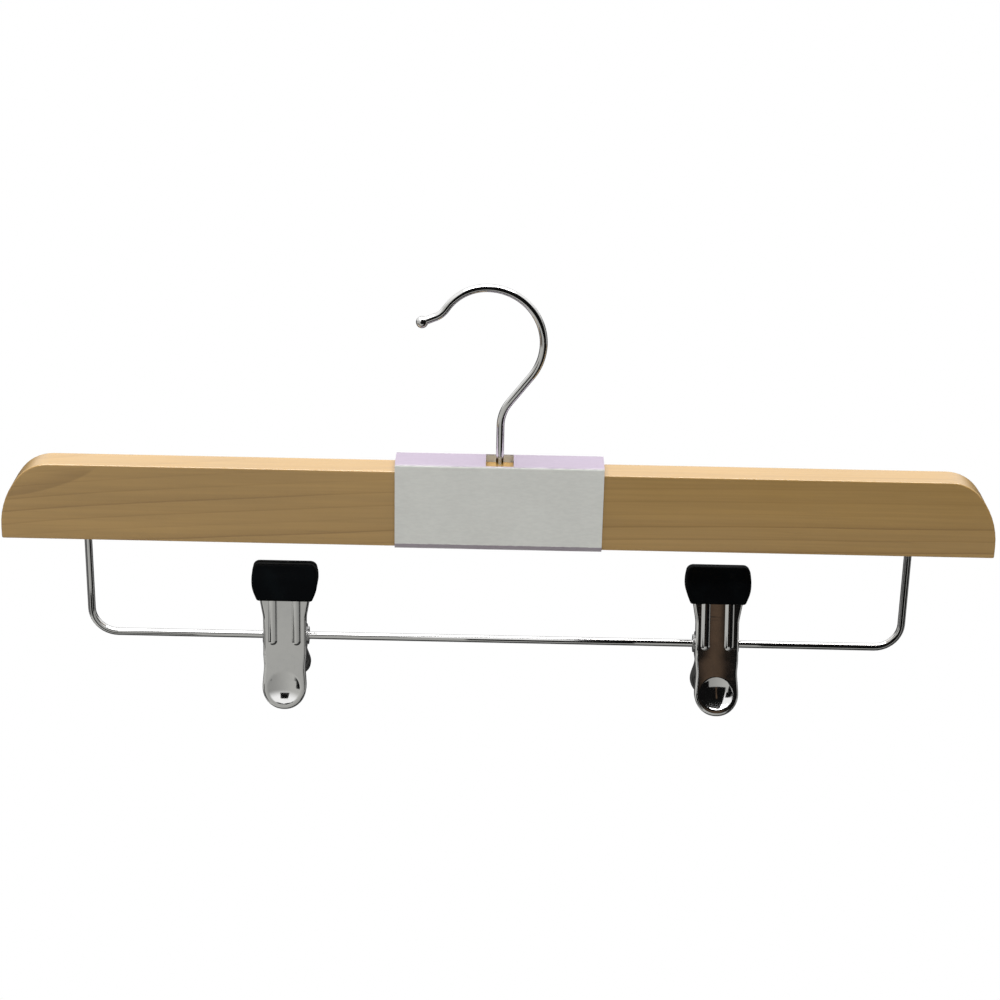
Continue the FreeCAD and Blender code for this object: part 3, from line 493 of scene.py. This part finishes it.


# The card: pale front and back, lilac on its narrow faces and a little way round their folds, the lilac at
# the foot darkened with painted shade where the fold turns under
CARD_PALE = colour(0.760, 0.765, 0.717)
CARD_LILAC = colour(0.395, 0.337, 0.414)
# painted shade: a darker lilac for the fold at the foot, which turns under, away from the light
LILAC_FOOT_PAINTED_SHADE = colour(0.34, 0.30, 0.33)
CARD_WORN = colour(0.86, 0.855, 0.84)
LILAC_TOP_END = (0.32 * MM, 0.4 * MM)
LILAC_FOOT_END = (1.8 * MM, 2.0 * MM)
LILAC_RAGGED = 0.35 * MM
WEAR_SPAN = (0.35 * MM, 0.9 * MM)
WEAR_CLOUDS = (0.35, 0.6)
WEAR_COVER = 0.35
CARD_FIBRE_SCALE = 1300.0
CARD_FIBRE_STRETCH = (0.35, 1.0, 1.0)
CARD_FIBRE_TONES = (0.97, 1.02)
CARD_CLOUD_SCALE = 55.0
CARD_CLOUD_TONES = (-0.02, 0.015)
CARD_DETAIL = 4.0
CARD_ROUGH = (0.55, 0.68)
CARD_BUMP = 0.25
CARD_TOOTH = 0.04 * MM
CARD_SHINE = 0.35


def make_card():
    """Smooth card with a fibrous tooth; the lilac narrow faces are worn pale along the folds, and the one at
    the foot is darkened with painted shade.
    """
    material, graph, shader = new_material("plain_card")
    low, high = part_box("card_sleeve")
    where = graph.places()
    place = graph.parts(where)
    fibre = graph.noise(where, CARD_FIBRE_SCALE, CARD_DETAIL, CARD_FIBRE_STRETCH)
    cloud = graph.noise(where, CARD_CLOUD_SCALE, CARD_DETAIL)

    ragged = graph.times(graph.minus(fibre, NOISE_MIDDLE), LILAC_RAGGED)
    from_top = graph.plus(graph.minus(high.z, place["Z"]), ragged)
    from_foot = graph.plus(graph.minus(place["Z"], low.z), ragged)
    shade = graph.mix(graph.fade(from_top, LILAC_TOP_END), CARD_PALE, CARD_LILAC)
    # painted shade: the lilac at the foot is laid on darker, as the fold turns under
    shade = graph.mix(graph.fade(from_foot, LILAC_FOOT_END), shade, LILAC_FOOT_PAINTED_SHADE)

    across = graph.minus(high.y, graph.math("ABSOLUTE", place["Y"]))
    from_fold = graph.plus(graph.math("MINIMUM", from_top, from_foot), across)
    wear = graph.times(graph.fade(from_fold, WEAR_SPAN), graph.spread(cloud, WEAR_CLOUDS))
    shade = graph.mix(graph.times(wear, WEAR_COVER), shade, CARD_WORN)
    fibre_tone = graph.spread(fibre, NOISE_SPAN, CARD_FIBRE_TONES)
    cloud_tone = graph.spread(cloud, NOISE_SPAN, CARD_CLOUD_TONES)
    shade = graph.toned(shade, graph.plus(fibre_tone, cloud_tone))

    rough = graph.spread(cloud, NOISE_SPAN, CARD_ROUGH)
    finish_shader(graph, shader, shade, rough, graph.bump(fibre, CARD_BUMP, CARD_TOOTH))
    shader.inputs["Specular IOR Level"].default_value = CARD_SHINE
    return material


def dress_nodes():
    """Gives every node the material of its slot, and the pressed jaws a chrome whose inner side is rougher
    and darkened with painted shade.
    """
    made = {
        "wood": make_wood(),
        "chrome": make_chrome(),
        "steel": make_steel(),
        "vinyl": make_vinyl(),
        "card": make_card(),
    }
    for row in frame["record"]["subparts"]:
        nodes[row["node"]].material_slots[0].material = made[row["material_slot"]]
    for side, outward in (("front", -1.0), ("rear", 1.0)):
        pressed = make_pressed(side, outward)
        for hand in HANDS:
            nodes[hand + "_" + side + "_jaw"].material_slots[0].material = pressed
    return made


# The torsion springs, in each clip's own frame, with the pivot's axis along X
SPRING_WIRE = 1.2 * MM
COIL_RADIUS = 3.4 * MM
COIL_PITCH = 2.0 * MM
COIL_TURNS = 3
LEG_FOOT_Y = -8.62 * MM
LEG_FOOT_Z = -10.82 * MM
STEPS_PER_TURN = 40
WIRE_SIDES = 16

# The turn of each clip's frame about that axis
CLIP_TILT = {"left": math.radians(2), "right": math.radians(-10)}


def spring_line():
    """The centre line of a torsion spring: a leg, the curls about the pivot and the other leg."""
    away = math.hypot(LEG_FOOT_Y, LEG_FOOT_Z)
    leave = math.atan2(LEG_FOOT_Z, LEG_FOOT_Y) + math.tau - math.acos(COIL_RADIUS / away)
    turned = math.tau * COIL_TURNS + 2 * leave - math.pi
    half = COIL_PITCH * turned / math.tau / 2
    steps = math.ceil(STEPS_PER_TURN * turned / math.tau)
    points = [Vector((-half, LEG_FOOT_Y, LEG_FOOT_Z))]
    for step in range(steps + 1):
        share = step / steps
        angle = leave - turned * share
        across = (2 * share - 1) * half
        points.append(Vector((across, COIL_RADIUS * math.cos(angle), COIL_RADIUS * math.sin(angle))))
    points.append(Vector((half, -LEG_FOOT_Y, LEG_FOOT_Z)))
    return points


def make_wire_tree():
    """Sweeps a round wire along a line of edges, and ends in a smooth plain mesh with its finish."""
    tree = bpy.data.node_groups.new("round_wire", "GeometryNodeTree")
    sockets = {"Line": "Geometry", "Wire Radius": "Float", "Sides": "Int", "Finish": "Material"}
    for label, kind in sockets.items():
        tree.interface.new_socket(label, in_out="INPUT", socket_type="NodeSocket" + kind)
    tree.interface.new_socket("Wire", in_out="OUTPUT", socket_type="NodeSocketGeometry")
    enter = tree.nodes.new("NodeGroupInput")
    path = tree.nodes.new("GeometryNodeMeshToCurve")
    ring = tree.nodes.new("GeometryNodeCurvePrimitiveCircle")
    sweep = tree.nodes.new("GeometryNodeCurveToMesh")
    sweep.inputs["Fill Caps"].default_value = True
    smooth = tree.nodes.new("GeometryNodeSetShadeSmooth")
    plain = tree.nodes.new("GeometryNodeRealizeInstances")
    finish = tree.nodes.new("GeometryNodeSetMaterial")
    leave = tree.nodes.new("NodeGroupOutput")
    joins = (
        (enter.outputs["Line"], path.inputs["Mesh"]),
        (enter.outputs["Wire Radius"], ring.inputs["Radius"]),
        (enter.outputs["Sides"], ring.inputs["Resolution"]),
        (path.outputs["Curve"], sweep.inputs["Curve"]),
        (ring.outputs["Curve"], sweep.inputs["Profile Curve"]),
        (sweep.outputs["Mesh"], smooth.inputs["Geometry"]),
        (smooth.outputs["Geometry"], plain.inputs["Geometry"]),
        (plain.outputs["Geometry"], finish.inputs["Geometry"]),
        (enter.outputs["Finish"], finish.inputs["Material"]),
        (finish.outputs["Geometry"], leave.inputs["Wire"]),
    )
    for source, socket in joins:
        tree.links.new(source, socket)
    return tree


def make_wire(tree, name, points, radius, material):
    """A round wire along points, as a plain mesh."""
    line = bpy.data.meshes.new(name + "_line")
    line.from_pydata(points, [(step, step + 1) for step in range(len(points) - 1)], [])
    guide = bpy.data.objects.new(name + "_guide", line)
    scene.collection.objects.link(guide)
    modifier = guide.modifiers.new("wire", "NODES")
    modifier.node_group = tree
    settings = {"Wire Radius": radius, "Sides": WIRE_SIDES, "Finish": material}
    for label, setting in settings.items():
        modifier[tree.interface.items_tree[label].identifier] = setting
    seen = guide.evaluated_get(bpy.context.evaluated_depsgraph_get())
    mesh = bpy.data.meshes.new_from_object(seen)
    bpy.data.objects.remove(guide)
    mesh.name = name
    piece = bpy.data.objects.new(name, mesh)
    scene.collection.objects.link(piece)
    return piece


def add_springs(material):
    """Wound springs set in each clip's frame at its eyelet, in place of the plain spring parts, which are
    hidden.
    """
    tree = make_wire_tree()
    for hand in HANDS:
        low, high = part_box(hand + "_eyelet")
        turn = Matrix.Rotation(CLIP_TILT[hand], 4, "X")
        place = Matrix.Translation((low + high) / 2) @ turn
        points = [place @ point for point in spring_line()]
        piece = make_wire(tree, hand + "_wound_spring", points, SPRING_WIRE / 2, material)
        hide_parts(hand + "_spring")
        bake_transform(piece)


def make_stage_quad(name, corners, material):
    """A flat stage piece between four corners."""
    mesh = bpy.data.meshes.new(name)
    mesh.from_pydata(corners, [], [(0, 1, 2, 3)])
    mesh.materials.append(material)
    quad = bpy.data.objects.new(name, mesh)
    scene.collection.objects.link(quad)
    return quad


# The floor, well below the hanging object, and how far from the middle its shadow fades out
FLOOR_DROP = 0.45
FLOOR_HALF = 4.0
FLOOR_PALE = grey(0.92)
FLOOR_ROUGH = 0.9
SHADOW_SPAN = (0.25, 0.45)


def make_floor():
    """A pale floor with the object's soft shadow, plain white further out, that bright metal sees through."""
    material, graph, shader = new_material("pale_floor")
    shader.inputs["Base Color"].default_value = FLOOR_PALE
    shader.inputs["Roughness"].default_value = FLOOR_ROUGH
    shader.inputs["Specular IOR Level"].default_value = 0.0
    place = graph.parts(graph.places())
    flat = graph.node("CombineXYZ", X=place["X"], Y=place["Y"])
    away = graph.node("VectorMath", {"operation": "LENGTH"}, Vector=flat.outputs[0])
    path = graph.node("LightPath").outputs
    seen = graph.math("MAXIMUM", path["Is Camera Ray"], path["Is Transmission Ray"])
    seen = graph.times(seen, graph.spread(away.outputs["Value"], SHADOW_SPAN))
    glow = graph.node("Emission", Color=WHITE, Strength=1.0)
    clear = graph.node("BsdfTransparent")
    shown = graph.mix_shaders(seen, shader, glow)
    show_shader(material, graph.mix_shaders(path["Is Glossy Ray"], shown, clear))

    lowest = cad_box[0].z - FLOOR_DROP
    signs = ((-1, -1), (1, -1), (1, 1), (-1, 1))
    corners = [(x * FLOOR_HALF, y * FLOOR_HALF, lowest) for x, y in signs]
    make_stage_quad("floor", corners, material)


# Small black flags that only bright metal sees, by their low left and high right corners
FLAGS = {
    "hook_flag": (Vector((-0.050, -0.05, -0.03)), Vector((0.050, -0.05, 0.09))),
    "rail_flag_left": (Vector((-0.175, -0.06, -0.175)), Vector((-0.120, -0.06, -0.144))),
    "rail_flag_middle": (Vector((-0.012, -0.06, -0.165)), Vector((0.055, -0.06, -0.12))),
    "rail_flag_right": (Vector((0.105, -0.06, -0.165)), Vector((0.175, -0.06, -0.12))),
    "left_clip_flag": (Vector((-0.180, -0.245, -0.04)), Vector((-0.045, -0.245, 0.075))),
    "right_clip_flag": (Vector((0.035, -0.12, -0.13)), Vector((0.45, -0.12, 0.4))),
}
FLAG_BLACK = grey(0.004)

# The brown streak on the flag in front of the right clip: its place, half widths and faded edges
STREAK_BROWN = colour(0.085, 0.055, 0.036)
STREAK_AT = 0.0923
STREAK_FOOT = -0.095
STREAK_HEAD = -0.05
STREAK_END = -0.03
STREAK_HALF = (0.0035, 0.0065)
STREAK_EDGE = (0.7, 1.0)


def make_flags():
    """Black studio flags, with a warm brown streak on the one in front of the right clip."""
    material, graph, shader = new_material("flag")
    material.node_tree.nodes.remove(shader)
    place = graph.parts(graph.places())
    off = graph.math("ABSOLUTE", graph.minus(place["X"], STREAK_AT))
    half = graph.spread(place["Z"], (STREAK_FOOT, STREAK_HEAD), STREAK_HALF)
    streak = graph.fade(graph.math("DIVIDE", off, half), STREAK_EDGE)
    streak = graph.times(streak, graph.fade(place["Z"], (STREAK_HEAD, STREAK_END)))
    shade = graph.mix(streak, FLAG_BLACK, STREAK_BROWN)
    show_shader(material, graph.node("Emission", Color=shade, Strength=1.0))

    for name, (low, high) in FLAGS.items():
        corners = [low, (high.x, high.y, low.z), high, (low.x, low.y, high.z)]
        flag = make_stage_quad(name, corners, material)
        flag.visible_camera = False
        flag.visible_diffuse = False
        flag.visible_shadow = False
        flag.visible_transmission = False


# What bright metal sees further out: a pale table, dark below and at the sides, white above and behind
TABLE_LEFT = colour(0.49, 0.49, 0.47)
TABLE_RIGHT = colour(0.31, 0.31, 0.30)
BELOW_DARK = grey(0.03)
LEFT_DARK = grey(0.10)
DIM_BEHIND = grey(0.06)

# Where each of these begins and ends, in the parts of the direction
TABLE_SPAN = (-0.8, 0.7)
BAND_FOOT = (-0.60, -0.54)
BAND_HEAD = (-0.32, -0.26)
BAND_RIGHT = (0.50, 0.58)
BAND_LEFT = (-0.64, -0.52)
BELOW_LEAN = 0.5
BELOW_SPAN = (-0.86, -0.76)
WHITE_ABOVE = (0.25, 0.65)
WHITE_BEHIND = (0.05, 0.4)
DIM_BACK = (0.1, 0.4)
DIM_HEAD = (0.0, 0.2)


def studio_view(graph):
    """The colour that bright metal sees in each direction."""
    x, y, z = graph.parts(graph.node("TexCoord").outputs["Generated"])
    table = graph.mix(graph.spread(x, TABLE_SPAN), TABLE_LEFT, TABLE_RIGHT)
    band = graph.times(graph.spread(z, BAND_FOOT), graph.fade(z, BAND_HEAD))
    table = graph.mix(graph.times(band, graph.spread(x, BAND_RIGHT)), table, BLACK)
    table = graph.mix(graph.times(band, graph.fade(x, BAND_LEFT)), table, LEFT_DARK)
    leaning = graph.minus(z, graph.times(graph.math("MAXIMUM", x, 0.0), BELOW_LEAN))
    table = graph.mix(graph.fade(leaning, BELOW_SPAN), table, BELOW_DARK)
    view = graph.mix(graph.spread(z, WHITE_ABOVE), table, WHITE)
    view = graph.mix(graph.spread(y, WHITE_BEHIND), view, WHITE)
    low_behind = graph.times(graph.spread(y, DIM_BACK), graph.fade(z, DIM_HEAD))
    return graph.mix(low_behind, view, DIM_BEHIND)


def make_world():
    """White behind the object, an even fill for its shading, and the studio for bright metal."""
    world = bpy.data.worlds.new("studio")
    world.use_nodes = True
    scene.world = world
    graph = Graph(world.node_tree)
    path = graph.node("LightPath").outputs
    fill = graph.mix(path["Is Glossy Ray"], grey(AMBIENT), studio_view(graph))
    seen = graph.math("MAXIMUM", path["Is Camera Ray"], path["Is Transmission Ray"])
    background = world.node_tree.nodes["Background"]
    graph.feed(background.inputs["Color"], graph.mix(seen, fill, WHITE))
    background.inputs["Strength"].default_value = 1.0


def make_lamp():
    """The soft lamp overhead."""
    lamp = bpy.data.lights.new("softbox", "AREA")
    lamp.shape = "RECTANGLE"
    lamp.size, lamp.size_y = LAMP_SIZE
    lamp.energy = LAMP_POWER
    holder = bpy.data.objects.new("softbox", lamp)
    holder.location = LAMP_PLACE
    scene.collection.objects.link(holder)


def make_camera():
    """The camera, looking down a little at the object's front."""
    camera = bpy.data.cameras.new("camera")
    camera.lens = CAMERA_LENS
    camera.sensor_width = CAMERA_SENSOR
    holder = bpy.data.objects.new("camera", camera)
    aim = Matrix.Rotation(math.pi / 2 - CAMERA_DIP, 4, "X") @ Matrix.Rotation(CAMERA_ROLL, 4, "Z")
    holder.matrix_world = Matrix.Translation(CAMERA_PLACE) @ aim
    scene.collection.objects.link(holder)
    scene.camera = holder


make_camera()
materials = dress_nodes()
add_springs(materials["steel"])
make_floor()
make_flags()
make_lamp()
make_world()
scene.view_settings.view_transform = "Standard"
